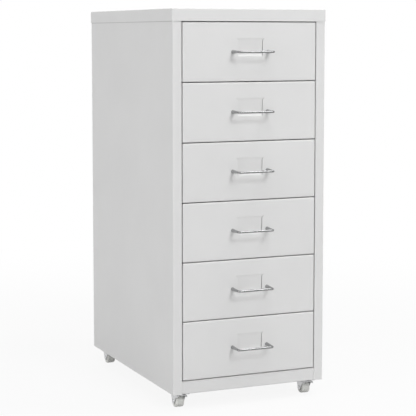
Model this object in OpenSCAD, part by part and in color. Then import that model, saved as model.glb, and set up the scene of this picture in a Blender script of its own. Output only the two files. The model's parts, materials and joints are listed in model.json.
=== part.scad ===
// Small sheet-steel drawer cabinet on castors.
// The origin is on the floor, under the middle of the cabinet with its handles. X runs to the right,
// the drawers open towards -Y and Z points up. Lengths are in millimetres.

/* [Cabinet] */
// Width over the side panels
body_w = 280; // [220:1:400]
// Depth from the drawer fronts to the rear posts
body_d = 410; // [380:1:600]
// Height from under the base pan to the top of the cover
body_h = 641; // [560:1:900]
// Width of the four corner posts
post_w = 16.4; // [15:0.2:20]
// How far the returns of the posts run into the cabinet
post_return = 40; // [30:1:60]
// Height of the fixed rails of the base pan
rail_h = 21.75; // [18:0.25:40]
// Height of the skirt round the top cover
skirt_h = 20.75; // [14:0.25:40]
// How far the front rail lies behind the faces of the posts
rail_back = 1.5; // [0:0.1:3]
// Width of the flanges along the top and the bottom of the side panels
side_flange = 14; // [10:0.5:15]

/* [Sheet metal] */
// Thickness of the carcass and drawer sheet
sheet_t = 0.8; // [0.6:0.1:1.2]
// Inside radius of every bend
bend_r = 0.8; // [0.4:0.1:1.5]
// Play between two folded parts that fit into one another
fit_play = 0.1; // [0.05:0.05:0.3]

/* [Drawers] */
// Gap round each drawer front
front_gap = 1.5; // [1:0.1:3]
// Depth of the folded edge of a drawer front
front_fold = 14; // [8:0.5:20]
// How far a drawer slides out
drawer_travel = 300; // [150:1:320]
// Length of a tray
tray_l = 384; // [350:1:385]
// Height of a tray up to its slides
tray_h = 80; // [50:1:84]
// Height of the tray floor above the lower edge of the drawer front
tray_lift = 5; // [3:0.5:8]
// Distance from the drawer opening's side to the tray wall
tray_side_gap = 10; // [9:0.5:14]
// Width of the folded tabs that close the tray corners
corner_tab = 11; // [6:0.5:20]

/* [Runners] */
// Thickness of the runner sheet
runner_t = 1; // [0.8:0.1:1.5]
// Height inside the runner channel
runner_slot = 6; // [5:0.5:8]
// Vertical play of a slide on its runner
slide_play = 0.3; // [0.2:0.05:0.6]
// Sideways play of a slide in its runner
guide_play = 1; // [0.5:0.1:1.5]
// Play left at the two ends of the travel
stop_play = 0.3; // [0.2:0.1:1]

/* [Label holder] */
// Width of the pressed-in bridge
label_w = 44; // [30:1:50]
// Height of its floor
label_floor = 23.5; // [12:0.5:26]
// Depth of the pressing at the lower end of its floor
label_depth = 3; // [2:0.1:4]
// Depth of the pressing at the upper end of its floor
label_lead = 0.5; // [0.4:0.1:2]
// Height of its upper slope
label_slope_top = 2.75; // [2:0.25:6]
// Height of its steep lower slope
label_slope_low = 3.5; // [3:0.5:6]
// How far each end flares out on the upper slope
label_flare = 3.5; // [0.5:0.5:4]
// Height of the floor's middle above the handle
label_rise = 7.75; // [4:0.25:10]
// Width of the slit along each end
label_slit = 0.5; // [0.3:0.1:1]
// Margin of the tray's window round the pressing
window_margin = 2.5; // [2:0.5:4]

/* [Handles] */
// Distance between the two legs
handle_span = 64; // [60:1:90]
// Reach in front of the drawer
handle_out = 28; // [22:1:40]
// Diameter of the bar
bar_d = 3.6; // [3:0.1:6]
// Diameter of a leg where it meets the drawer
leg_d = 6.5; // [6.5:0.1:10]
// Radius of the bend between leg and bar
knee_r = 4; // [3:0.5:8]
// Depth of the screw hole in a leg
leg_hole = 9; // [8:1:14]

/* [Castors] */
// Height from the floor to the base pan
castor_h = 28; // [27:0.5:40]
// Wheel diameter
wheel_d = 21; // [18:0.5:21.5]
// Wheel width over the tread
wheel_w = 15; // [10:0.5:16]
// Distance from the cabinet's side to the swivel axis
castor_in_x = 21; // [20:0.5:40]
// Distance from the cabinet's front to the swivel axes of the front castors
castor_in_front = 25; // [24:0.5:80]
// Distance from the cabinet's rear to the swivel axes of the rear castors
castor_in_rear = 38; // [34:0.5:80]
// Distance from the swivel axis to the wheel axle
trail = 5.5; // [4:0.5:7]
// Width of the top plate
plate_w = 28; // [26:0.5:30]
// Length of the top plate
plate_l = 35; // [33:0.5:40]
// Thickness of the plate and the fork
castor_t = 1.2; // [1:0.1:1.5]
// Depth of the pressed cup in the plate
cup_depth = 2.6; // [2:0.1:2.8]
// Play between the swivelling parts
swivel_play = 0.25; // [0.15:0.05:0.4]
// Radial running play on kingpin and axle
running_play = 0.05; // [0.02:0.01:0.1]

/* [Fasteners] */
// Diameter of the carcass and castor screws
screw_d = 3.5; // [3:0.1:4]
// Diameter of the handle screws
handle_screw_d = 4; // [3:0.1:4]
// Diameter of the kingpin
kingpin_d = 5; // [4:0.1:6]
// Diameter of the axle rivet
axle_d = 4; // [3:0.1:5]

/* [Hidden] */
$fn = 48;
cut = 1; // overlap of a cutting tool past the face it cuts
drawers = 6;
corner_names = ["front_left", "front_right", "rear_left", "rear_right"];
numbers = [1 : drawers];

// Colours
coat = [0.85, 0.85, 0.85];
chrome = [0.75, 0.76, 0.78];
zinc = [0.62, 0.63, 0.64];
nylon = [0.80, 0.81, 0.78];

// Sheet and bends
bend_out = bend_r + sheet_t;
cover_out = fit_play + sheet_t;
screw_head_h = 0.6 * screw_d;
screw_hole = screw_d + 0.1;

// Depth: the middle of everything from the handles to the cover's rear skirt lies on the origin
front_y = (handle_out - body_d - cover_out - screw_head_h) / 2;
rear_y = front_y + body_d;

// Heights
pan_z = castor_h;
side_z = pan_z + sheet_t;
top_z = castor_h + body_h;
side_top = top_z - sheet_t;
side_h = side_top - side_z;
opening_z = pan_z + rail_h;
opening_h = body_h - rail_h - skirt_h;

// Drawer opening and drawer fronts
opening_x = body_w / 2 - post_w;
pitch = (opening_h - front_gap) / drawers;
front_h = even_size(pitch - front_gap);
front_w = 2 * (opening_x - front_gap);

// Tray
tray_x = opening_x - tray_side_gap;
tray_y = front_y + sheet_t;
tray_floor_z = tray_lift - front_h / 2;
slide_z = tray_floor_z + tray_h - sheet_t;
slide_x = opening_x - runner_t - guide_play;
slide_y = front_y + front_fold + stop_play;

// Runner: its ledge lies under the slide, measured from the middle height of the drawer
ledge_z = slide_z - slide_play;
runner_y = front_y + front_fold + stop_play;
back_fold = 12;
runner_l = rear_y - back_fold - stop_play - runner_y;
runner_h = runner_slot + 2 * runner_t;
ledge_gap = 1.5;
runner_reach = tray_side_gap - ledge_gap;
stop_low = slide_play + sheet_t + 0.9;
stop_tab_h = 3;
stop_tab_y = runner_y + runner_t + drawer_travel + stop_play;

// Label holder
label_mid = label_rise;
label_low = label_mid - label_floor / 2 - label_slope_low;
label_high = label_mid + label_floor / 2 + label_slope_top;

// Castor
axle_z = wheel_d / 2;
plate_z = castor_h - castor_t;
cup_z = castor_h - cup_depth - castor_t;
web_z = cup_z - swivel_play - castor_t;
fork_in = wheel_w / 2 + 0.5;
fork_bend = 1;
cup_r = 8.5;
cup_floor_r = 6.5;
plate_hole_x = plate_w / 2 - 4;
plate_hole_y = plate_l / 2 - 4;
castor_x = body_w / 2 - castor_in_x;

// Sheet is cut to the nearest 0.02 mm below a size
function even_size(v) = floor(v * 50 + 0.001) / 50;
function z_mid(i) = opening_z + opening_h - front_gap - front_h / 2 - (i - 1) * pitch;
function side_sign(c) = c % 2 == 0 ? -1 : 1;
function castor_y(c) = c < 2 ? front_y + castor_in_front : rear_y - castor_in_rear;

// ---- Shapes used again and again ----

// A strip of sheet that starts along X with its thickness towards Y and turns at each bend.
// lengths holds the flat lengths; turns holds 1 for a left bend and -1 for a right one.
module folded(lengths, turns, t, r, i = 0) {
    square([lengths[i], t]);
    if (i < len(turns)) {
        left = turns[i] > 0;
        translate([lengths[i], left ? t + r : -r])
            intersection() {
                difference() {
                    circle(t + r);
                    circle(r);
                }
                translate([0, left ? -t - r : 0]) square(t + r);
            }
        translate(left ? [lengths[i] + r + t, r + t] : [lengths[i] + r, -r])
            rotate(90 * turns[i]) folded(lengths, turns, t, r, i + 1);
    }
}

// A rectangle with round corners, centred
module round_rect(w, h, r) {
    square([w - 2 * r, h], center = true);
    square([w, h - 2 * r], center = true);
    for (x = [-1, 1], y = [-1, 1])
        translate([x * (w / 2 - r), y * (h / 2 - r)]) circle(r);
}

// A solid block that faces -Y, with round edges on that face and round corners behind it
module soft_block(w, h, d, r) {
    translate([0, d, 0]) rotate([90, 0, 0]) linear_extrude(d - r) round_rect(w, h, r);
    translate([r - w / 2, 0, r - h / 2]) cube([w - 2 * r, r + 0.01, h - 2 * r]);
    for (z = [-1, 1])
        translate([r - w / 2, r, z * (h / 2 - r)]) rotate([0, 90, 0]) cylinder(h = w - 2 * r, r = r);
    for (x = [-1, 1])
        translate([x * (w / 2 - r), r, r - h / 2]) cylinder(h = h - 2 * r, r = r);
    // each ball is turned so that its poles lie inside the block
    for (x = [-1, 1], z = [-1, 1])
        translate([x * (w / 2 - r), r, z * (h / 2 - r)])
            rotate([-45 * z, 0, 0]) rotate([0, 0, 90 + 90 * x]) sphere(r);
}

// A shallow pan of sheet that faces -Y: a face with all four edges folded back
module pan(w, h, d) {
    difference() {
        soft_block(w, h, d, bend_out);
        translate([0, sheet_t, 0]) soft_block(w - 2 * sheet_t, h - 2 * sheet_t, d, bend_r);
    }
}

// A pan-head screw along +Z: the head's underside is at z = 0 and the shank points down
module screw(d, l) {
    rotate_extrude()
        polygon([[0, -l], [d / 2 - 0.6, -l], [d / 2, 0.6 - l], [d / 2, 0], [d, 0], [d, 0.25 * d],
                 [0.75 * d, 0.6 * d], [0.3 * d, 0.6 * d], [0.3 * d, 0.25 * d], [0, 0.25 * d]]);
}

// ---- Carcass ----

// Places of the carcass screws: four up through the base pan, six through the back panel's folded
// edges and two through the rear skirt of the cover
pan_screw_y = [front_y + 0.36 * body_d, front_y + 0.64 * body_d];
flange_mid = side_flange / 2 + bend_r;
back_z = opening_z + fit_play;
back_h = side_top - back_z;
back_screw_z = [for (k = [1, 3, 5]) back_z + k * back_h / 6];
skirt_screw_z = top_z - skirt_h / 2;

module pan_screw_places() {
    for (x = [-1, 1], y = pan_screw_y)
        translate([x * (body_w / 2 - flange_mid), y, pan_z]) rotate([180, 0, 0]) children();
}

module back_screw_places() {
    for (s = [-1, 1], z = back_screw_z)
        translate([s * (opening_x - fit_play - sheet_t), rear_y - back_fold / 2, z]) rotate([0, -90 * s, 0])
            children();
}

module skirt_screw_places() {
    for (s = [-1, 1])
        translate([s * (body_w / 2 - post_w / 2), rear_y + cover_out, skirt_screw_z]) rotate([-90, 0, 0])
            children();
}

// Castor plate holes, in the cabinet's frame, seen from below
module castor_screw_places(c) {
    for (x = [-1, 1], y = [-1, 1])
        translate([side_sign(c) * castor_x + x * plate_hole_x, castor_y(c) + y * plate_hole_y, plate_z])
            rotate([180, 0, 0]) children();
}

// A hole for a screw, long enough for the sheets it clamps
module hole(d) {
    translate([0, 0, -5]) cylinder(h = 10, d = d);
}

// The right side panel: one sheet folded into two hollow posts, with a flange along its top and bottom
module side_panel() {
    flat_post = post_w - 2 * bend_out;
    flat_wall = body_d - 2 * bend_out;
    flat_return = post_return - bend_out;
    flange_gap = 1;
    flange_root = 2;
    difference() {
        union() {
            // the walls end below the bend of the top flange, clear of the inside bend of the cover
            translate([opening_x, front_y + post_return, side_z])
                rotate([0, 0, -90])
                    linear_extrude(side_h - bend_out)
                        folded([flat_return, flat_post, flat_wall, flat_post, flat_return], [1, 1, 1, 1],
                               sheet_t, bend_r);
            translate([0, rear_y - bend_out - flange_gap, side_z + side_h / 2])
                rotate([90, 0, 0])
                    linear_extrude(flat_wall - 2 * flange_gap)
                        for (m = [0, 1])
                            mirror([0, m])
                                translate([body_w / 2, side_h / 2 - bend_out - flange_root])
                                    rotate(90)
                                        folded([flange_root, side_flange - bend_out], [1], sheet_t, bend_r);
        }
        pan_screw_places() hole(screw_hole);
        back_screw_places() hole(screw_hole);
        skirt_screw_places() hole(screw_hole);
        for (c = [1, 3]) castor_screw_places(c) hole(screw_hole);
    }
}

module right_side() {
    color(coat) side_panel();
}

module left_side() {
    color(coat) mirror([1, 0, 0]) side_panel();
}

// The back panel: a pan between the rear posts, with its face to the rear
module back_panel() {
    color(coat)
        difference() {
            translate([0, rear_y, back_z + back_h / 2])
                rotate([0, 0, 180]) pan(2 * (opening_x - fit_play), back_h, back_fold);
            back_screw_places() hole(screw_hole);
        }
}

// The top cover: a cap over the sides, with a stiffening fold along its front skirt between the posts
module top_cover() {
    lip_w = 2 * (opening_x - fit_play);
    lip_d = 9;
    color(coat)
        difference() {
            union() {
                translate([0, (front_y + rear_y) / 2, top_z])
                    rotate([-90, 0, 0]) pan(body_w + 2 * cover_out, body_d + 2 * cover_out, skirt_h);
                translate([-lip_w / 2, front_y - cover_out + sheet_t / 2, top_z - skirt_h])
                    cube([lip_w, lip_d, sheet_t]);
            }
            skirt_screw_places() hole(screw_hole);
        }
}

// The base pan: a floor under the sides, with a rail folded up between the front posts and the rear ones
module base_pan() {
    rail_w = 2 * (opening_x - fit_play);
    rail_flat = rail_h - 2 * bend_out;
    hem = 9;
    join_w = 1;
    join_front = front_y + rail_back + bend_out + join_w;
    join_rear = rear_y - bend_out - join_w;
    color(coat)
        difference() {
            union() {
                translate([-rail_w / 2, 0, 0])
                    rotate([90, 0, 90])
                        linear_extrude(rail_w)
                            translate([rear_y - bend_out, pan_z + rail_h])
                                translate([-hem, -sheet_t])
                                    mirror([0, 1]) translate([0, -sheet_t])
                                        folded([hem, rail_flat, body_d - rail_back - 2 * bend_out,
                                                rail_flat, hem], [1, 1, 1, 1], sheet_t, bend_r);
                // the strips under the side panels join the floor between the bends of the rails
                for (m = [0, 1])
                    mirror([m, 0, 0])
                        translate([0, 0, pan_z])
                            linear_extrude(sheet_t)
                                polygon([[rail_w / 2 - join_w, join_front], [opening_x, join_front],
                                         [opening_x, front_y], [body_w / 2, front_y], [body_w / 2, rear_y],
                                         [opening_x, rear_y], [opening_x, join_rear],
                                         [rail_w / 2 - join_w, join_rear]]);
            }
            pan_screw_places() hole(screw_hole);
            for (c = [0 : 3]) castor_screw_places(c) hole(screw_hole);
        }
}

// A right runner for drawer i: a channel open to the inside, with a stop at its front end
module runner(i) {
    lip = runner_reach - 2 * runner_t;
    translate([0, 0, z_mid(i) + ledge_z - runner_t]) {
        translate([opening_x - runner_reach, runner_y + runner_l, 0])
            rotate([90, 0, 0])
                linear_extrude(runner_l)
                    folded([lip, runner_h - 4 * runner_t, lip], [1, 1], runner_t, runner_t);
        translate([opening_x - runner_reach, runner_y, runner_t + stop_low])
            cube([runner_reach - runner_t / 2, runner_t, runner_slot - stop_low + runner_t / 2]);
    }
}

// ---- Drawers ----

module handle_places() {
    for (s = [-1, 1]) translate([s * handle_span / 2, front_y, 0]) children();
}

// The label holder's outline seen from the front, grown sideways
module label_outline(grow) {
    half = label_w / 2 + grow;
    wide = half + label_flare;
    polygon([[-half, label_low], [half, label_low], [half, label_high - label_slope_top], [wide, label_high],
             [-wide, label_high], [-half, label_high - label_slope_top]]);
}

// The drawer front: a pan with a label holder pressed in as a bridge, open at both ends
module drawer_front() {
    slope_ends = [[label_low, 0], [label_low + label_slope_low, label_depth],
                  [label_high - label_slope_top, label_lead], [label_high, 0]];
    inner_ends = [for (p = slope_ends) [p.x, p.y + sheet_t]];
    bridge_w = label_w + 2 * label_flare;
    color(coat)
        difference() {
            union() {
                difference() {
                    translate([0, front_y, 0]) pan(front_w, front_h, front_fold);
                    translate([0, front_y + sheet_t + cut, 0])
                        rotate([90, 0, 0]) linear_extrude(sheet_t + 2 * cut) label_outline(label_slit);
                }
                intersection() {
                    translate([bridge_w / 2, front_y, 0])
                        rotate([0, -90, 0])
                            linear_extrude(bridge_w)
                                polygon(concat(slope_ends, [for (k = [3 : -1 : 0]) inner_ends[k]]));
                    translate([0, front_y + front_fold, 0])
                        rotate([90, 0, 0]) linear_extrude(2 * front_fold) label_outline(0);
                }
            }
            handle_places() rotate([90, 0, 0]) hole(handle_screw_d + 0.2);
        }
}

// The tray: floor, walls and slides from one sheet, end walls folded up and held by corner tabs
module tray() {
    half_l = tray_l / 2;
    wall_h = tray_h - 2 * bend_out;
    floor_w = 2 * (tray_x - bend_out);
    slide_w = slide_x - tray_x - bend_r;
    wall_l = tray_l - 2 * (sheet_t + bend_out);
    end_w = 2 * (tray_x - sheet_t - fit_play);
    end_h = tray_h - bend_out;
    tab_h = tray_h - 2 * bend_out - 2;
    tab_lead = 2;
    stop_w = slide_w - 1.5;
    window_w = label_w + 2 * (label_flare + window_margin);
    window_h = label_high - label_low + 2 * window_margin;
    color(coat)
        difference() {
            translate([0, tray_y + half_l, tray_floor_z]) {
                // floor, side walls and slides
                translate([0, wall_l / 2, 0])
                    rotate([90, 0, 0])
                        linear_extrude(wall_l)
                            for (m = [0, 1])
                                mirror([m, 0])
                                    folded([floor_w / 2, wall_h, slide_w], [1, -1], sheet_t, bend_r);
                // end walls
                translate([-end_w / 2, 0, 0])
                    rotate([90, 0, 90])
                        linear_extrude(end_w)
                            for (m = [0, 1])
                                mirror([m, 0]) folded([half_l - bend_out, end_h], [1], sheet_t, bend_r);
                // corner tabs, folded in from the side walls behind the end walls
                for (m = [0, 1], e = [0, 1])
                    mirror([m, 0, 0])
                        mirror([0, e, 0])
                            translate([tray_x - sheet_t, tab_lead - wall_l / 2, bend_out + 1])
                                rotate([0, 0, -90])
                                    linear_extrude(tab_h)
                                        folded([tab_lead, corner_tab - bend_out], [-1], sheet_t, bend_r);
            }
            // the slides start behind the folded edge of the front
            for (s = [-1, 1])
                translate([s > 0 ? tray_x + 0.001 : -slide_x - cut, tray_y - cut, slide_z - bend_r])
                    cube([slide_x - tray_x + cut, slide_y - tray_y + cut, bend_out + cut]);
            // window round the label holder
            translate([-window_w / 2, tray_y - cut, label_low - window_margin])
                cube([window_w, sheet_t + 2 * cut, window_h]);
            handle_places() rotate([90, 0, 0]) hole(handle_screw_d + 0.2);
        }
    // stops that stand up from the slides
    color(coat)
        for (s = [-1, 1])
            translate([s * (slide_x - slide_w / 2) - stop_w / 2, stop_tab_y, slide_z + sheet_t / 2])
                cube([stop_w, sheet_t, stop_tab_h + sheet_t / 2]);
}

// A bow handle: two tapered legs, two bends and a bar, with a screw hole in each leg
module handle() {
    leg_l = handle_out - knee_r - bar_d / 2;
    bar_y = front_y - leg_l - knee_r;
    color(chrome)
        difference() {
            union() {
                handle_places() rotate([90, 0, 0]) cylinder(h = leg_l, d1 = leg_d, d2 = bar_d);
                for (m = [0, 1])
                    mirror([m, 0, 0])
                        translate([handle_span / 2 - knee_r, front_y - leg_l, 0])
                            rotate([0, 0, -90])
                                rotate_extrude(angle = 90) translate([knee_r, 0]) circle(d = bar_d);
                translate([knee_r - handle_span / 2, bar_y, 0])
                    rotate([0, 90, 0]) cylinder(h = handle_span - 2 * knee_r, d = bar_d);
            }
            handle_places() rotate([90, 0, 0]) cylinder(h = leg_hole, d = handle_screw_d);
        }
}

module handle_screw_pair() {
    grip = 2 * sheet_t;
    color(zinc)
        handle_places()
            translate([0, grip, 0]) rotate([-90, 0, 0]) screw(handle_screw_d - 0.1, grip + leg_hole - 1);
}

// ---- Castors, each drawn about its own swivel axis with the wheel to the -Y side of it ----

module castor_plate() {
    color(zinc) {
        difference() {
            translate([0, 0, plate_z]) linear_extrude(castor_t) round_rect(plate_w, plate_l, 3);
            translate([0, 0, plate_z - cut]) cylinder(h = castor_t + 2 * cut, r = cup_r);
            for (x = [-1, 1], y = [-1, 1])
                translate([x * plate_hole_x, y * plate_hole_y, plate_z]) hole(screw_hole);
        }
        rotate_extrude()
            polygon([[kingpin_d / 2, cup_z], [cup_floor_r + castor_t, cup_z], [cup_r + castor_t, plate_z],
                     [cup_r + castor_t, castor_h], [cup_r, castor_h], [cup_floor_r, cup_z + castor_t],
                     [kingpin_d / 2, cup_z + castor_t]]);
    }
}

module kingpin() {
    head_r = kingpin_d / 2 + 1.3;
    color(zinc)
        rotate_extrude()
            polygon([[0, web_z - swivel_play - 0.8], [head_r - 0.4, web_z - swivel_play - 0.8],
                     [head_r, web_z - swivel_play], [kingpin_d / 2, web_z - swivel_play],
                     [kingpin_d / 2, cup_z + castor_t], [head_r, cup_z + castor_t],
                     [head_r - 0.5, cup_z + castor_t + 1.2], [0, cup_z + castor_t + 1.2]]);
}

// The fork: a folded channel whose crown has a skirt round the swivel, and whose legs narrow from there
// down to the axle
module castor_fork() {
    eye_r = 4.5;
    crown_back = 13;
    leg_back = 6;
    front_edge = -14;
    shoulder = web_z - 3;
    flat_web = 2 * (fork_in - fork_bend);
    leg = web_z - fork_bend;
    reach_front = tangent_point([front_edge, shoulder], [-trail, axle_z], eye_r, 1);
    reach_back = tangent_point([leg_back, shoulder], [-trail, axle_z], eye_r, -1);
    color(zinc)
        difference() {
            intersection() {
                translate([0, 20, 0])
                    rotate([90, 0, 0])
                        linear_extrude(40)
                            translate([flat_web / 2 + fork_bend + castor_t, 0])
                                rotate(90)
                                    folded([leg, flat_web, leg], [1, 1], castor_t, fork_bend);
                translate([-20, 0, 0])
                    rotate([90, 0, 90])
                        linear_extrude(40)
                            union() {
                                polygon([reach_back, [leg_back, shoulder], [crown_back, shoulder],
                                         [crown_back, web_z + 2], [front_edge, web_z + 2],
                                         [front_edge, shoulder], reach_front]);
                                translate([-trail, axle_z]) circle(eye_r);
                            }
            }
            translate([0, 0, web_z - cut])
                cylinder(h = castor_t + 2 * cut, r = kingpin_d / 2 + running_play);
            translate([-20, -trail, axle_z]) rotate([0, 90, 0]) cylinder(h = 40, d = axle_d);
        }
}

// Where a line from point p touches a circle of radius r about c, taken just inside the circle; side picks
// one of the two tangents
function tangent_point(p, c, r, side) =
    let (v = p - c, a = atan2(v.y, v.x) + side * acos(r / norm(v)))
    c + (r - 0.02) * [cos(a), sin(a)];

module castor_axle() {
    head = 0.9;
    half = fork_in + castor_t;
    color(zinc)
        translate([0, -trail, axle_z])
            rotate([0, 90, 0])
                rotate_extrude()
                    polygon([[0, -half - head], [axle_d / 2 + 0.6, -half - head], [axle_d / 2 + 1.2, -half],
                             [axle_d / 2, -half], [axle_d / 2, half], [axle_d / 2 + 1.2, half],
                             [axle_d / 2 + 0.6, half + head], [0, half + head]]);
}

// The wheel: a round-edged tread, dished on both sides round its hub
module castor_wheel() {
    r = wheel_d / 2;
    hub_r = axle_d / 2 + 2;
    bore_r = axle_d / 2 + running_play;
    hub_w = wheel_w / 2 + 0.3;
    edge_r = 2.5;
    rim_r = r - 3;
    dish = 2;
    color(nylon)
        translate([0, -trail, axle_z])
            rotate([0, 90, 0])
                rotate_extrude()
                    union() {
                        polygon([[bore_r, -hub_w], [hub_r, -hub_w], [hub_r, dish - wheel_w / 2],
                                 [rim_r - dish, dish - wheel_w / 2], [rim_r, -wheel_w / 2],
                                 [r - edge_r, -wheel_w / 2], [r - edge_r, wheel_w / 2], [rim_r, wheel_w / 2],
                                 [rim_r - dish, wheel_w / 2 - dish], [hub_r, wheel_w / 2 - dish],
                                 [hub_r, hub_w], [bore_r, hub_w]]);
                        translate([r - 2 * edge_r, edge_r - wheel_w / 2])
                            square([2 * edge_r, wheel_w - 2 * edge_r]);
                        for (s = [-1, 1])
                            translate([r - edge_r, s * (wheel_w / 2 - edge_r)]) circle(edge_r);
                    }
}

// Sets a castor in its place, turned so that its wheel trails to the rear
module at_castor(c) {
    translate([side_sign(c) * castor_x, castor_y(c), 0]) rotate([0, 0, 180]) children();
}

// ---- Fasteners ----

module carcass_screws() {
    color(zinc) {
        pan_screw_places() screw(screw_d, 6);
        back_screw_places() screw(screw_d, 6);
        skirt_screw_places() screw(screw_d, 6);
    }
}

module castor_screws() {
    color(zinc) for (c = [0 : 3]) castor_screw_places(c) screw(screw_d, 6);
}

module castor_kingpins() {
    for (c = [0 : 3]) at_castor(c) kingpin();
}

left_side();
right_side();
back_panel();
top_cover();
base_pan();
carcass_screws();
castor_screws();
castor_kingpins();
for (i = numbers) {
    color(zinc) mirror([1, 0, 0]) runner(i);
    color(zinc) runner(i);
    translate([0, 0, z_mid(i)]) tray();
    translate([0, 0, z_mid(i)]) drawer_front();
    translate([0, 0, z_mid(i)]) handle();
    translate([0, 0, z_mid(i)]) handle_screw_pair();
}
for (c = [0 : 3]) {
    at_castor(c) castor_plate();
    at_castor(c) castor_fork();
    at_castor(c) castor_axle();
    at_castor(c) castor_wheel();
}
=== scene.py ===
import json
import math

import bpy
import numpy as np
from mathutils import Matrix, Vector


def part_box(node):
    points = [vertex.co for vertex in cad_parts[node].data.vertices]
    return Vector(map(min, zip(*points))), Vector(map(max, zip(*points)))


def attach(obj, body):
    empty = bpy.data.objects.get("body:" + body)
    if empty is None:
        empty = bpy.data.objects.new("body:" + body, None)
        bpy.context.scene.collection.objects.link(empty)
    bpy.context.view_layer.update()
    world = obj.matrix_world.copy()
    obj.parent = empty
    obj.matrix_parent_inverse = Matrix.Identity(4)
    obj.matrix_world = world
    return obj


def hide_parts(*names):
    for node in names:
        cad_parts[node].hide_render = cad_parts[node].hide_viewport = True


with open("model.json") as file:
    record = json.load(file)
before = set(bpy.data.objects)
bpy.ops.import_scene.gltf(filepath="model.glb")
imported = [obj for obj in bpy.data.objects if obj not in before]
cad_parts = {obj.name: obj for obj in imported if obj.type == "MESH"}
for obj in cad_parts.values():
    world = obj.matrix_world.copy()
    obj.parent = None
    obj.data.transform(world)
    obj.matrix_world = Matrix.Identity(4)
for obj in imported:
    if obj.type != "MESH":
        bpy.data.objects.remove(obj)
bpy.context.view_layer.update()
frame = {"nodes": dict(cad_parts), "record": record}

# ---------------------------------------------------------------------------------------------
# Sizes shared by several pieces, in metres
# ---------------------------------------------------------------------------------------------

MM = 0.001
TINY = 1e-9
DRAWERS = range(1, 7)
CORNERS = ("front_left", "front_right", "rear_left", "rear_right")

# Folded sheet: its thickness, and the outer radius of its bends
SHEET = 0.8 * MM
BEND = 2 * SHEET

# Bow handle: distance between its legs, radius of the bar and of a leg's foot, and bend of the knees
HANDLE_SPAN = 64 * MM
BAR_R = 1.8 * MM
FOOT_R = 3.25 * MM
KNEE_R = 4.0 * MM

# Screws: radii of their shanks, and the castor screws' distance from the edges of their plate
HANDLE_SCREW_R = 1.95 * MM
CASTOR_SCREW_R = 1.75 * MM
PLATE_EDGE = 4 * MM

# Castor wheel: radius of its axle, and its play on it
AXLE_R = 2.0 * MM
AXLE_PLAY = 0.05 * MM

# Where painted shade and painted reflection begin: the plane of the posts, the cover's lower edge and the
# back of a handle's bar
FRONT_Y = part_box("left_side")[0].y
LIP_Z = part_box("top_cover")[0].z
BAR_BACK_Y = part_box("handle_1")[0].y + 2 * BAR_R


# ---------------------------------------------------------------------------------------------
# Shader maths
# ---------------------------------------------------------------------------------------------

class Wire:
    """A socket that takes part in Python expressions, with other sockets or plain numbers."""

    def __init__(self, shade, socket):
        self.shade, self.socket = shade, socket

    def _math(self, operation, *terms):
        return self.shade.node("ShaderNodeMath", {"operation": operation}, terms)

    def __add__(self, other):
        return self._math("ADD", self, other)

    def __sub__(self, other):
        return self._math("SUBTRACT", self, other)

    def __rsub__(self, other):
        return self._math("SUBTRACT", other, self)

    def __mul__(self, other):
        return self._math("MULTIPLY", self, other)

    __radd__, __rmul__ = __add__, __mul__

    def ramp(self, low, high, to_low=0.0, to_high=1.0):
        """Smooth step from to_low at low to to_high at high."""
        settings = {"interpolation_type": "SMOOTHSTEP"}
        return self.shade.node("ShaderNodeMapRange", settings, (self, low, high, to_low, to_high))


class Shade:
    """Builds one node tree. Every node comes from the method node()."""

    def __init__(self, name, tree=None):
        if tree is None:
            self.material = bpy.data.materials.new(name)
            self.material.use_nodes = True
            tree = self.material.node_tree
        self.tree = tree
        self.tree.nodes.clear()

    def node(self, kind, settings=None, inputs=(), output=0):
        """A node of a kind, its settings made first, then its inputs by order or by name."""
        made = self.tree.nodes.new(kind)
        for key, value in (settings or {}).items():
            setattr(made, key, value)
        pairs = inputs.items() if isinstance(inputs, dict) else enumerate(inputs)
        for key, value in pairs:
            socket = made.inputs[key]
            if isinstance(value, Wire):
                self.tree.links.new(value.socket, socket)
            elif socket.type == "RGBA":
                socket.default_value = (*value, 1.0)
            else:
                socket.default_value = value
        return Wire(self, made.outputs[output]) if made.outputs else None

    def place(self):
        return self.node("ShaderNodeTexCoord", output="Object")

    def noise(self, scale, detail=2.0, roughness=0.5, at=None):
        inputs = {"Vector": at or self.place(), "Scale": scale, "Detail": detail, "Roughness": roughness}
        return self.node("ShaderNodeTexNoise", inputs=inputs)

    def stretch(self, scale):
        return self.node("ShaderNodeMapping", inputs={"Vector": self.place(), "Scale": scale})

    def cells(self, scale):
        """A random level for each of many small cells."""
        colour = self.node("ShaderNodeTexVoronoi", inputs={"Vector": self.place(), "Scale": scale},
                           output="Color")
        return self.axis(colour, "X")

    def axis(self, vector, name):
        return self.node("ShaderNodeSeparateXYZ", inputs=(vector,), output=name)

    def mix(self, mask, first, second):
        inputs = {0: mask, 6: first, 7: second}
        return self.node("ShaderNodeMix", {"data_type": "RGBA"}, inputs, output=2)

    def tint(self, level, colour):
        """A grey level turned into a colour of that brightness."""
        return self.mix(level, (0.0, 0.0, 0.0), colour)

    def bump(self, height, distance, strength):
        inputs = {"Height": height, "Distance": distance, "Strength": strength}
        return self.node("ShaderNodeBump", inputs=inputs)

    def backdrop(self):
        """1 for rays from the camera, off gloss or through glass, which all show the white backdrop."""
        flags = [self.node("ShaderNodeLightPath", output=name)
                 for name in ("Is Camera Ray", "Is Glossy Ray", "Is Transmission Ray")]
        return flags[0] + flags[1] + flags[2]

    def surface(self, inputs):
        shader = self.node("ShaderNodeBsdfPrincipled", inputs=inputs)
        self.node("ShaderNodeOutputMaterial", inputs=(shader,))
        return self.material


# ---------------------------------------------------------------------------------------------
# Materials
# ---------------------------------------------------------------------------------------------

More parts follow.
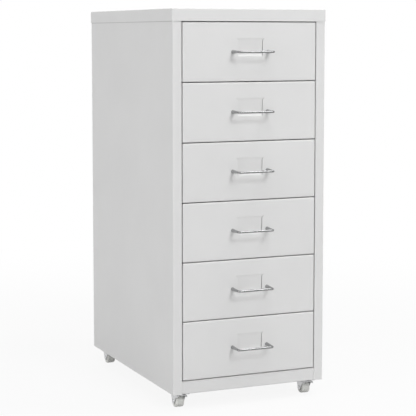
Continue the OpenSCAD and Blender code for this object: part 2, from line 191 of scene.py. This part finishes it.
# Tones are from 0, black, to 1, white
PAINT_TONE = 0.705
PAINT_TINT = (1.0, 1.0, 0.998)
# Painted shade on the side walls just under the cover's lip, standing in for the shadow of the overlapping
# edge: how much darker, how tall, and the height of its soft top
SEAM_SHADE_TONE = 0.20
SEAM_SHADE_H = 1.4 * MM
SEAM_SHADE_FADE = 0.3 * SEAM_SHADE_H
BAR_TONES = (0.22, 0.26)
# Painted reflection: how much paler a handle's legs are painted than its bar, fading in over the next
# length
LEG_PAINTED_REFLECTION = 0.15
LEG_FADE = 5 * MM
CHROME_TINT = (0.985, 0.992, 1.0)
ZINC_TINT = (0.985, 0.99, 1.0)
NYLON, NYLON_SCUFFED, NYLON_CLOUDED = (0.77, 0.775, 0.745), (0.56, 0.56, 0.54), (0.86, 0.86, 0.83)
FLOOR_PAINT = (0.62, 0.62, 0.62)
WHITE = (1.0, 1.0, 1.0)
NEAR_WHITE = 0.90


def powder_coat(name, lip=None):
    """Satin powder coat: fine orange peel, a faint speckle, slow drifts of tone and gloss. On a wall,
    lip is the height of the edge that overlaps it, and a thin dark line of painted shade lies just under
    it."""
    s = Shade(name)
    peel = s.noise(950.0, 2.0, 0.45) + 0.35 * s.noise(2600.0, 1.0)
    speckle = s.noise(4200.0, 1.0).ramp(0.35, 0.65, -0.008, 0.008)
    drift = s.noise(7.0, 3.0).ramp(0.3, 0.7, -0.010, 0.010)
    rubbed = s.noise(28.0, 4.0, 0.6).ramp(0.58, 0.75)
    gloss = 0.44 - 0.05 * rubbed + s.noise(600.0).ramp(0.3, 0.7, -0.03, 0.03)
    tone = speckle + drift + PAINT_TONE
    if lip is not None:
        # Painted shade: a dark band just under the cover's lip, behind the posts
        seam_shade = s.axis(s.place(), "Z").ramp(lip - SEAM_SHADE_H, lip - SEAM_SHADE_H + SEAM_SHADE_FADE)
        behind_posts = s.axis(s.place(), "Y").ramp(FRONT_Y + 1 * MM, FRONT_Y + 4 * MM)
        tone = tone - SEAM_SHADE_TONE * seam_shade * behind_posts
    return s.surface({"Base Color": s.tint(tone, PAINT_TINT), "Roughness": gloss,
                      "Specular IOR Level": 0.42, "Normal": s.bump(peel, 0.02 * MM, 0.5)})


def chrome(name):
    """Bright grey plating, with a handle's legs painted paler than its bar as a painted reflection, a slow
    ripple and hair-fine polishing marks along the bar."""
    s = Shade(name)
    marks = s.noise(1.0, 3.0, 0.6, at=s.stretch((260.0, 9000.0, 9000.0)))
    # Painted reflection: the legs are painted paler than the bar, from the back of the bar towards the
    # feet
    leg = s.axis(s.place(), "Y").ramp(BAR_BACK_Y, BAR_BACK_Y + LEG_FADE, 0.0, LEG_PAINTED_REFLECTION)
    level = s.noise(90.0).ramp(0.3, 0.7, *BAR_TONES) + leg
    return s.surface({"Base Color": s.tint(level, CHROME_TINT), "Metallic": 1.0,
                      "Roughness": marks.ramp(0.45, 0.75, 0.10, 0.17),
                      "Normal": s.bump(s.noise(160.0), 0.03 * MM, 0.2)})


def zinc(name, level, grain):
    """Zinc plating: small crystals of differing brightness under a dull bloom. A larger grain number
    makes smaller crystals."""
    s = Shade(name)
    crystals = s.cells(grain)
    bloom = s.noise(60.0, 4.0, 0.6).ramp(0.35, 0.7)
    return s.surface({"Base Color": s.tint(0.10 * crystals - 0.07 * bloom + level, ZINC_TINT),
                      "Metallic": 0.9, "Roughness": 0.10 * crystals + 0.14 * bloom + 0.30,
                      "Normal": s.bump(s.noise(1500.0), 0.01 * MM, 0.4)})


def nylon(name):
    """Pale milky nylon with a moulded grain, and grey scuffing on the tread."""
    s = Shade(name)
    scuff = s.noise(420.0, 4.0, 0.65).ramp(0.55, 0.72)
    cloud = s.noise(240.0, 3.0).ramp(0.3, 0.7, 0.0, 0.06)
    worn = s.mix(0.35 * scuff, NYLON, NYLON_SCUFFED)
    return s.surface({"Base Color": s.mix(cloud, worn, NYLON_CLOUDED), "Roughness": 0.2 * scuff + 0.42,
                      "Specular IOR Level": 0.5, "Normal": s.bump(s.noise(2200.0), 0.015 * MM, 0.4)})


def floor_paint(name, clear_r, fade_r):
    """Pale studio floor: mostly the backdrop's white, with some matt paint near the object that shows
    its shadow, and plain white from fade_r outwards."""
    s = Shade(name)
    away = s.node("ShaderNodeVectorMath", {"operation": "LENGTH"}, (s.place(),), output="Value")
    paint = s.node("ShaderNodeBsdfDiffuse", inputs={"Color": FLOOR_PAINT})
    white = s.node("ShaderNodeEmission", inputs={"Color": WHITE, "Strength": 1.0})
    share = away.ramp(clear_r, fade_r, NEAR_WHITE, 1.0) * s.backdrop()
    mixed = s.node("ShaderNodeMixShader", inputs=(share, paint, white))
    s.node("ShaderNodeOutputMaterial", inputs=(mixed,))
    return s.material


# The side walls' coat carries the painted shade under the cover's lip
WALL_SHADE_COAT = powder_coat("wall_shade_coat", lip=LIP_Z)
MATERIALS = {
    "powder_coat": powder_coat("powder_coat"),
    "handle_chrome": chrome("handle_chrome"),
    "runner_steel": zinc("runner_steel", 0.60, 160.0),
    "castor_zinc": zinc("castor_zinc", 0.61, 320.0),
    "screw_steel": zinc("screw_steel", 0.58, 700.0),
    "wheel_nylon": nylon("wheel_nylon"),
}


# ---------------------------------------------------------------------------------------------
# Mesh helpers
# ---------------------------------------------------------------------------------------------

def grid_faces(rows, columns, loop_rows=False, loop_columns=False):
    """Quads of a rows x columns grid of points, as index arrays, closed round either way if asked."""
    r = np.arange(rows if loop_rows else rows - 1)
    c = np.arange(columns if loop_columns else columns - 1)
    r, c = np.meshgrid(r, c, indexing="ij")
    r2, c2 = (r + 1) % rows, (c + 1) % columns
    quads = np.stack([r * columns + c, r * columns + c2, r2 * columns + c2, r2 * columns + c], -1)
    return quads.reshape(-1, 4)


MERGE_STEP = 0.004 * MM
SHARP_ANGLE = math.radians(35.0)


def build(name, patches, body, slot, replaces, solid=0.0):
    """Joins (points, quads) patches into one mesh piece, merges their seams and rides it on a body.
    Points on the same step of a fine lattice are one, and a quad with a side of no length becomes a
    triangle or goes. A thickness in solid makes a wall of that thickness behind the faces."""
    starts = np.cumsum([0] + [len(points) for points, _ in patches])
    points = np.concatenate([points for points, _ in patches])
    quads = np.concatenate([faces + start for (_, faces), start in zip(patches, starts)])
    lattice = np.round(points / MERGE_STEP).astype(np.int64)
    _, first, merged = np.unique(lattice, axis=0, return_index=True, return_inverse=True)
    quads = merged.reshape(-1)[quads]
    ring = [quads[:, k] for k in range(4)]
    same = sum((ring[k] == ring[(k + 1) % 4]).astype(int) for k in range(4))
    faces = [list(dict.fromkeys(q)) for q in quads[same < 2].tolist()]
    mesh = bpy.data.meshes.new(name)
    mesh.from_pydata(points[first].tolist(), [], [f for f in faces if len(f) > 2])
    mesh.validate()
    piece = bpy.data.objects.new(name, mesh)
    bpy.context.scene.collection.objects.link(piece)
    if solid:
        wall = piece.modifiers.new("wall", "SOLIDIFY")
        wall.thickness = solid
        wall.offset = -1.0
        wall.use_even_offset = True
        bpy.context.view_layer.update()
        made = bpy.data.meshes.new_from_object(piece.evaluated_get(bpy.context.evaluated_depsgraph_get()))
        piece.modifiers.clear()
        piece.data = made
        bpy.data.meshes.remove(mesh)
        made.name = name
    piece.data.shade_smooth()
    piece.data.set_sharp_from_angle(angle=SHARP_ANGLE)
    piece.data.materials.append(MATERIALS[slot])
    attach(piece, body)
    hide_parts(*replaces)


def revolve(profile, steps, centre):
    """Turns a closed profile of (radius, height) points round the line along X through centre: the
    point at turn a is centre + (height, radius cos a, radius sin a)."""
    turn = np.linspace(0.0, 2 * math.pi, steps, endpoint=False)[:, None]
    radius, height = profile[None, :, 0], profile[None, :, 1]
    along = np.broadcast_to(height, (steps, len(profile)))
    points = np.stack([along, radius * np.cos(turn), radius * np.sin(turn)], -1) + np.asarray(centre)
    return points.reshape(-1, 3), grid_faces(steps, len(profile), loop_rows=True, loop_columns=True)


def rounded(corners, radii, steps=6):
    """A closed outline whose corners are rounded: each corner p with unit directions u, v to its
    neighbours becomes the quadratic curve (1-t)^2 a + 2t(1-t) p + t^2 b, where a = p + radius u
    and b = p + radius v. There is one radius for each corner."""
    p = np.asarray(corners, float)
    radii = np.asarray(radii, float)[:, None]
    back, ahead = np.roll(p, 1, 0) - p, np.roll(p, -1, 0) - p
    back /= np.linalg.norm(back, axis=1, keepdims=True)
    ahead /= np.linalg.norm(ahead, axis=1, keepdims=True)
    a, b = p + radii * back, p + radii * ahead
    t = np.linspace(0.0, 1.0, steps)[None, :, None]
    curve = (1 - t) ** 2 * a[:, None] + 2 * t * (1 - t) * p[:, None] + t ** 2 * b[:, None]
    return curve.reshape(-1, 2)


# ---------------------------------------------------------------------------------------------
# Drawer fronts
# ---------------------------------------------------------------------------------------------

# The label holder is a bridge pressed into the front between two slits. Its heights are measured from
# the middle of the front: half its width, what it widens at its top, and the widths of the slits
LABEL_HALF = 22 * MM
LABEL_FLARE = 3.5 * MM
LABEL_SLIT_LEFT = 0.25 * MM
LABEL_SLIT_RIGHT = 0.6 * MM

# Its lower and upper edge, the heights of its two slopes, and where its floor begins and ends
LABEL_LOW = -7.5 * MM
LABEL_HIGH = 22.25 * MM
LABEL_SLOPE_LOW = 3.0 * MM
LABEL_SLOPE_TOP = 2.75 * MM
LABEL_FLOOR_TOP = LABEL_HIGH - LABEL_SLOPE_TOP
LABEL_FLOOR_LOW = LABEL_LOW + LABEL_SLOPE_LOW

# Depth of the floor at its lower and upper end, and the softness of the creases
LABEL_DEPTH = 1.5 * MM
LABEL_LEAD = 0.55 * MM
CREASE = 0.35 * MM

# Points of the face's grid: rows under, on and over the bridge, columns beside and on it, and round a bend
ROWS_UNDER, ROWS_ON, ROWS_OVER = 8, 61, 7
COLUMNS_BESIDE, COLUMNS_ON = 13, 25
BEND_POINTS = 7


def label_depth(z):
    """Depth of the pressed bridge at height z: the least of a lower slope, an upper slope and a floor
    that deepens evenly downwards, with each crease softened by
    min(a, b) ~ (a + b - sqrt((a - b)^2 + c^2)) / 2."""
    def soft_min(a, b):
        return (a + b - np.sqrt((a - b) ** 2 + CREASE ** 2)) / 2
    low = (z - LABEL_LOW) * LABEL_DEPTH / LABEL_SLOPE_LOW
    top = (LABEL_HIGH - z) * LABEL_LEAD / LABEL_SLOPE_TOP
    share = (LABEL_FLOOR_TOP - z) / (LABEL_FLOOR_TOP - LABEL_FLOOR_LOW)
    floor = LABEL_LEAD + (LABEL_DEPTH - LABEL_LEAD) * share
    depth = soft_min(soft_min(low, top), floor)
    depth = -soft_min(-depth, 0.0)
    return np.where((z > LABEL_LOW) & (z < LABEL_HIGH), depth, 0.0)


def label_half(z):
    """Half width of the bridge: even along its floor, flaring out on its upper slope."""
    flare = np.clip((z - LABEL_FLOOR_TOP) / LABEL_SLOPE_TOP, 0.0, 1.0)
    return LABEL_HALF + LABEL_FLARE * flare


def drawer_front(number):
    """A folded front: face, quarter-round bends and folded edges. The face is one grid whose columns
    follow the bridge's outline, with the columns of quads at both ends of the bridge left out as slits."""
    low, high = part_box(f"front_{number}")
    half_w, half_h = (high.x - low.x) / 2 - BEND, (high.z - low.z) / 2 - BEND
    front, fold = low.y, high.y - low.y
    mid_z = (high.z + low.z) / 2
    z = np.concatenate([np.linspace(-half_h, LABEL_LOW - CREASE, ROWS_UNDER),
                        np.linspace(LABEL_LOW, LABEL_HIGH, ROWS_ON),
                        np.linspace(LABEL_HIGH + CREASE, half_h, ROWS_OVER)])
    bridge_half = label_half(z)[:, None]
    beside = np.linspace(0.0, 1.0, COLUMNS_BESIDE)[None, :]
    on = np.linspace(-1.0, 1.0, COLUMNS_ON)[None, :]
    left = -half_w + beside * (half_w - bridge_half - LABEL_SLIT_LEFT)
    right = half_w - beside[:, ::-1] * (half_w - bridge_half - LABEL_SLIT_RIGHT)
    x = np.concatenate([left, on * bridge_half, right], axis=1)
    bridge_end = COLUMNS_BESIDE + COLUMNS_ON
    on_bridge = np.zeros(x.shape[1], bool)
    on_bridge[COLUMNS_BESIDE:bridge_end] = True
    height = np.broadcast_to(z[:, None], x.shape)
    depth = np.where(on_bridge[None, :], label_depth(height), 0.0)
    face = np.stack([x, front + depth, mid_z + height], -1)
    quads = grid_faces(*x.shape)
    row, column = quads[:, 0] // x.shape[1], quads[:, 0] % x.shape[1]
    slit = (column == COLUMNS_BESIDE - 1) | (column == bridge_end - 1)
    open_rows = (z[row] > LABEL_LOW - TINY) & (z[row + 1] < LABEL_HIGH + TINY)
    patches = [(face.reshape(-1, 3), quads[~(slit & open_rows)])]

    # bend and fold: out = BEND sin a and back = BEND (1 - cos a), then straight back
    a = np.linspace(0.0, math.pi / 2, BEND_POINTS)
    out = np.append(BEND * np.sin(a), BEND)
    back = np.append(BEND * (1 - np.cos(a)), fold)
    for s in (-1, 1):
        edge = np.stack(np.broadcast_arrays(s * (half_w + out[None, :]), front + back[None, :],
                                            mid_z + z[:, None]), -1)
        patches.append((edge.reshape(-1, 3), grid_faces(len(z), len(out))[:, ::s]))
    for s, row_x in ((-1, x[0]), (1, x[-1])):
        edge = np.stack(np.broadcast_arrays(row_x[:, None], front + back[None, :],
                                            mid_z + s * (half_h + out[None, :])), -1)
        patches.append((edge.reshape(-1, 3), grid_faces(len(row_x), len(out))[:, ::-s]))
    turn = a[:, None]
    for sx in (-1, 1):
        for sz in (-1, 1):
            corner = np.stack(np.broadcast_arrays(sx * (half_w + out[None, :] * np.cos(turn)),
                                                  front + back[None, :],
                                                  mid_z + sz * (half_h + out[None, :] * np.sin(turn))), -1)
            patches.append((corner.reshape(-1, 3), grid_faces(BEND_POINTS, len(out))[:, ::sx * sz]))
    build(f"pressed_front_{number}", patches, f"drawer_{number}", "powder_coat", [f"front_{number}"],
          solid=SHEET)


# ---------------------------------------------------------------------------------------------
# Handles
# ---------------------------------------------------------------------------------------------

LEG_POINTS, KNEE_POINTS, BAR_POINTS = 15, 11, 13
RING_POINTS = 32


def bow_handle(number):
    """A round bar swept along leg, bend, bar, bend, leg: the ring at each path point P with side
    direction N and +Z is P + r (cos b N + sin b Z). The radius r swells towards both feet."""
    low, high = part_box(f"handle_{number}")
    foot_y, bar_y = high.y, low.y + BAR_R
    mid_z = (low.z + high.z) / 2
    knee_y = bar_y + KNEE_R
    half = HANDLE_SPAN / 2
    leg = np.linspace(0.0, 1.0, LEG_POINTS)[:-1]
    a = np.linspace(0.0, math.pi / 2, KNEE_POINTS)
    bar = np.linspace(-1.0, 1.0, BAR_POINTS)[1:-1]
    left = np.concatenate([np.stack([np.full(leg.size, -half), foot_y + leg * (knee_y - foot_y)], 1),
                           np.stack([-half + KNEE_R * (1 - np.cos(a)), knee_y - KNEE_R * np.sin(a)], 1)])
    middle = np.stack([bar * (half - KNEE_R), np.full(bar.size, bar_y)], 1)
    path = np.concatenate([left, middle, left[::-1] * (-1, 1)])
    run = np.clip((path[:, 1] - knee_y) / (foot_y - knee_y), 0.0, 1.0)
    radius = BAR_R + (FOOT_R - BAR_R) * run
    tangent = np.gradient(path, axis=0)
    tangent /= np.linalg.norm(tangent, axis=1, keepdims=True)
    tangent[0], tangent[-1] = (0, -1), (0, 1)
    normal = np.stack([-tangent[:, 1], tangent[:, 0]], 1)
    b = np.linspace(0.0, 2 * math.pi, RING_POINTS + 1)[:-1][None, :]
    across = radius[:, None] * np.cos(b)
    ring = np.stack([path[:, 0:1] + across * normal[:, 0:1], path[:, 1:2] + across * normal[:, 1:2],
                     mid_z + radius[:, None] * np.sin(b)], -1)
    patches = [(ring.reshape(-1, 3), grid_faces(len(path), RING_POINTS, loop_columns=True))]
    for end, flip in ((0, -1), (-1, 1)):
        centre = np.array([path[end, 0], foot_y, mid_z])
        cap = np.stack([ring[end], np.broadcast_to(centre, ring[end].shape)])
        patches.append((cap.reshape(-1, 3), grid_faces(2, RING_POINTS, loop_columns=True)[:, ::flip]))
    build(f"bow_handle_{number}", patches, f"drawer_{number}", "handle_chrome", [f"handle_{number}"])


# ---------------------------------------------------------------------------------------------
# Screws
# ---------------------------------------------------------------------------------------------

# Sizes of a screw's head as shares of the shank's radius: the head's radius and height, and the reach and
# half width of the recess's arms. As shares of the head's height: the recess's depth and the head's edge.
# As shares of an arm's half width and reach: the slopes of its walls and of its ends
HEAD_R = 2
HEAD_H = 1.2
ARM_REACH = 1.15
ARM_HALF = 0.22
RECESS = 0.75
HEAD_EDGE = 0.35
WALL_SLOPE = 0.5
END_SLOPE = 1 / 3
HEAD_POINTS = 45
TIP = 0.5 * MM


def screw(head_at, direction, shank_r, length):
    """A pan-head screw with a cross recess and a shank with a chamfered tip. The head's top is a square
    grid drawn out to a disc. Its height at radius q is the edge's plus the rest of the head's height
    times 1 - (q / R)^4, less the recess. The shank is the profile side turned to meet the disc's rim."""
    head_r, head_h = HEAD_R * shank_r, HEAD_H * shank_r
    reach, half_width = ARM_REACH * shank_r, ARM_HALF * shank_r
    span = np.linspace(-1.0, 1.0, HEAD_POINTS)
    u, v = np.meshgrid(span, span, indexing="ij")
    square = np.maximum(np.abs(u), np.abs(v))
    norm = np.maximum(np.hypot(u, v), TINY)
    x, y = head_r * u * square / norm, head_r * v * square / norm
    q = np.hypot(x, y)
    dome = head_h * (HEAD_EDGE + (1 - HEAD_EDGE) * (1 - (q / head_r) ** 4))

    def arm(along, across):
        """1 in an arm of the recess, falling to 0 over its tapering walls and ends."""
        walls = np.clip((half_width - np.abs(across)) / (WALL_SLOPE * half_width), 0, 1)
        ends = np.clip((reach - np.abs(along)) / (END_SLOPE * reach), 0, 1)
        return walls * ends

    top = dome - RECESS * head_h * np.maximum(arm(x, y), arm(y, x))
    cap = (np.stack([x, y, top], -1).reshape(-1, 3), grid_faces(HEAD_POINTS, HEAD_POINTS)[:, ::-1])

    side = np.array([[0.0, -length], [shank_r - TIP, -length], [shank_r, TIP - length],
                     [shank_r, 0.0], [head_r, 0.0], [head_r, HEAD_EDGE * head_h]])
    radius, level = side[None, :, 0] / head_r, side[None, :, 1]
    disc = np.stack([x, y], -1)
    rim = np.concatenate([disc[:-1, 0], disc[-1, :-1], disc[:0:-1, -1], disc[0, :0:-1]])[:, None]
    turned = np.stack([radius * rim[..., 0], radius * rim[..., 1],
                       np.broadcast_to(level, (len(rim), len(side)))], -1)
    shank = (turned.reshape(-1, 3), grid_faces(len(rim), len(side), loop_rows=True)[:, ::-1])

    d = np.asarray(direction, float)
    helper = np.array([0.0, 0.0, 1.0]) if abs(d[2]) < 0.9 else np.array([1.0, 0.0, 0.0])
    e1 = np.cross(helper, d)
    e1 /= np.linalg.norm(e1)
    basis = np.stack([e1, np.cross(d, e1), d])
    return [(points @ basis + np.asarray(head_at), quads) for points, quads in (cap, shank)]


def handle_screws(number):
    """The two screws that hold a handle from inside the drawer, with their heads to the rear."""
    low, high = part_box(f"handle_screws_{number}")
    mid_z = (low.z + high.z) / 2
    head_y = high.y - HEAD_H * HANDLE_SCREW_R
    patches = []
    for s in (-1, 1):
        patches += screw((s * HANDLE_SPAN / 2, head_y, mid_z), (0, 1, 0), HANDLE_SCREW_R, head_y - low.y)
    build(f"cross_screws_{number}", patches, f"drawer_{number}", "screw_steel",
          [f"handle_screws_{number}"])


def castor_screws():
    """Four screws through each castor's plate, with their heads below."""
    low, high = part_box("castor_screws")
    head_z = low.z + HEAD_H * CASTOR_SCREW_R
    patches = []
    for corner in CORNERS:
        plate_low, plate_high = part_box(f"castor_plate_{corner}")
        for x in (plate_low.x + PLATE_EDGE, plate_high.x - PLATE_EDGE):
            for y in (plate_low.y + PLATE_EDGE, plate_high.y - PLATE_EDGE):
                patches += screw((x, y, head_z), (0, 0, -1), CASTOR_SCREW_R, high.z - head_z)
    build("castor_cross_screws", patches, "cabinet", "screw_steel", ["castor_screws"])


# ---------------------------------------------------------------------------------------------
# Castor wheels
# ---------------------------------------------------------------------------------------------

# How far the hub stands out past the tread, the hub's wall, the rim's height and the depth of the dish
HUB_PROUD = 0.3 * MM
HUB_WALL = 2 * MM
RIM_H = 3 * MM
DISH = 2 * MM
WHEEL_STEPS = 96


def castor_wheel(corner):
    """A wheel turned round its axle: a tread with round shoulders, dished sides and a plain hub."""
    low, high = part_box(f"castor_wheel_{corner}")
    centre = (low + high) / 2
    tread_r, hub_w = (high.z - low.z) / 2, (high.x - low.x) / 2
    tread_w, dish_w = hub_w - HUB_PROUD, hub_w - HUB_PROUD - DISH
    bore, hub, rim = AXLE_R + AXLE_PLAY, AXLE_R + HUB_WALL, tread_r - RIM_H
    half = [[bore, hub_w], [hub, hub_w], [hub, dish_w], [rim - DISH, dish_w], [rim, tread_w],
            [tread_r, tread_w]]
    radii = [0.2 * MM, 0.3 * MM, 0.3 * MM, 0.5 * MM, 0.5 * MM, 2.5 * MM]
    mirrored = [[q, -h] for q, h in half[::-1]]
    profile = rounded(half + mirrored, radii + radii[::-1])
    build(f"nylon_wheel_{corner}", [revolve(profile, WHEEL_STEPS, centre)], f"wheel_{corner}",
          "wheel_nylon", [f"castor_wheel_{corner}"])


# ---------------------------------------------------------------------------------------------
# Dress the frame
# ---------------------------------------------------------------------------------------------

for entry in frame["record"]["subparts"]:
    node = frame["nodes"][entry["node"]]
    # The side walls take the coat with painted shade under the cover's lip
    wall = entry["node"] in ("left_side", "right_side")
    node.data.materials.clear()
    node.data.materials.append(WALL_SHADE_COAT if wall else MATERIALS[entry["material_slot"]])

for number in DRAWERS:
    drawer_front(number)
    bow_handle(number)
    handle_screws(number)
castor_screws()
for corner in CORNERS:
    castor_wheel(corner)


# ---------------------------------------------------------------------------------------------
# Floor, light and camera
# ---------------------------------------------------------------------------------------------

FLOOR_HALF = 6.0
FLOOR_CLEAR_R, FLOOR_FADE_R = 0.45, 1.6
ROOM_LIGHT = 0.55
ROOM_LOW, ROOM_HIGH = 0.40, 1.0
MIDDLE = (0.0, 0.0, 0.36)

# Name, place, size and watts of each lamp
LAMPS = (
    ("key", (0.68, -3.78, 2.75), 1.1, 48.0),
    ("overhead", (-0.10, -1.95, 3.72), 2.4, 40.0),
    ("glint", (1.60, -0.90, 3.70), 0.9, 36.0),
    ("fill", (-4.50, -1.35, 1.77), 3.3, 76.0),
    ("rear", (2.20, 4.40, 2.20), 3.0, 90.0),
)


def studio_floor():
    """A square floor round the object, at height 0."""
    mesh = bpy.data.meshes.new("studio_floor")
    corners = [(-FLOOR_HALF, -FLOOR_HALF, 0), (FLOOR_HALF, -FLOOR_HALF, 0),
               (FLOOR_HALF, FLOOR_HALF, 0), (-FLOOR_HALF, FLOOR_HALF, 0)]
    mesh.from_pydata(corners, [], [(0, 1, 2, 3)])
    mesh.materials.append(floor_paint("studio_floor", FLOOR_CLEAR_R, FLOOR_FADE_R))
    floor = bpy.data.objects.new("studio_floor", mesh)
    bpy.context.scene.collection.objects.link(floor)


def studio_world():
    """The white backdrop; as a light it is a soft room, brighter overhead than at the horizon."""
    world = bpy.data.worlds.new("studio")
    world.use_nodes = True
    bpy.context.scene.world = world
    s = Shade("studio", world.node_tree)
    up = s.axis(s.node("ShaderNodeTexCoord", output="Generated"), "Z")
    room = s.tint(up.ramp(-0.1, 1.0, ROOM_LOW, ROOM_HIGH), WHITE)
    light = s.node("ShaderNodeBackground", inputs={"Color": room, "Strength": ROOM_LIGHT})
    white = s.node("ShaderNodeBackground", inputs={"Color": WHITE, "Strength": 1.0})
    mixed = s.node("ShaderNodeMixShader", inputs=(s.backdrop(), light, white))
    s.node("ShaderNodeOutputWorld", inputs=(mixed,))


def soft_light(name, place, size, watts):
    """A round lamp that shines from its place towards the middle of the object."""
    lamp = bpy.data.lights.new(name, "AREA")
    lamp.shape, lamp.size, lamp.energy = "DISK", size, watts
    light = bpy.data.objects.new(name, lamp)
    bpy.context.scene.collection.objects.link(light)
    light.location = place
    light.rotation_euler = (Vector(MIDDLE) - Vector(place)).to_track_quat("-Z", "Y").to_euler()


studio_floor()
studio_world()
for lamp_values in LAMPS:
    soft_light(*lamp_values)

# The camera stands to the left of the front at about the height of the cover, looking slightly down
CAMERA_YAW = math.radians(23.40)
CAMERA_PITCH = math.radians(5.41)
CAMERA_PLACE = (-0.9870, -2.2952, 0.6259)
CAMERA_SHIFT = -0.10
FOCAL_PX, FRAME_PX, SENSOR = 1390.0, 416.0, 36.0
camera_data = bpy.data.cameras.new("camera")
camera_data.sensor_width = SENSOR
camera_data.lens = SENSOR * FOCAL_PX / FRAME_PX
camera_data.shift_y = CAMERA_SHIFT
camera_data.clip_start, camera_data.clip_end = 0.05, 60.0
camera = bpy.data.objects.new("camera", camera_data)
bpy.context.scene.collection.objects.link(camera)
camera.location = CAMERA_PLACE
camera.rotation_euler = (math.pi / 2 - CAMERA_PITCH, 0.0, -CAMERA_YAW)
bpy.context.scene.camera = camera
bpy.context.scene.view_settings.view_transform = "Standard"

bpy.context.view_layer.update()
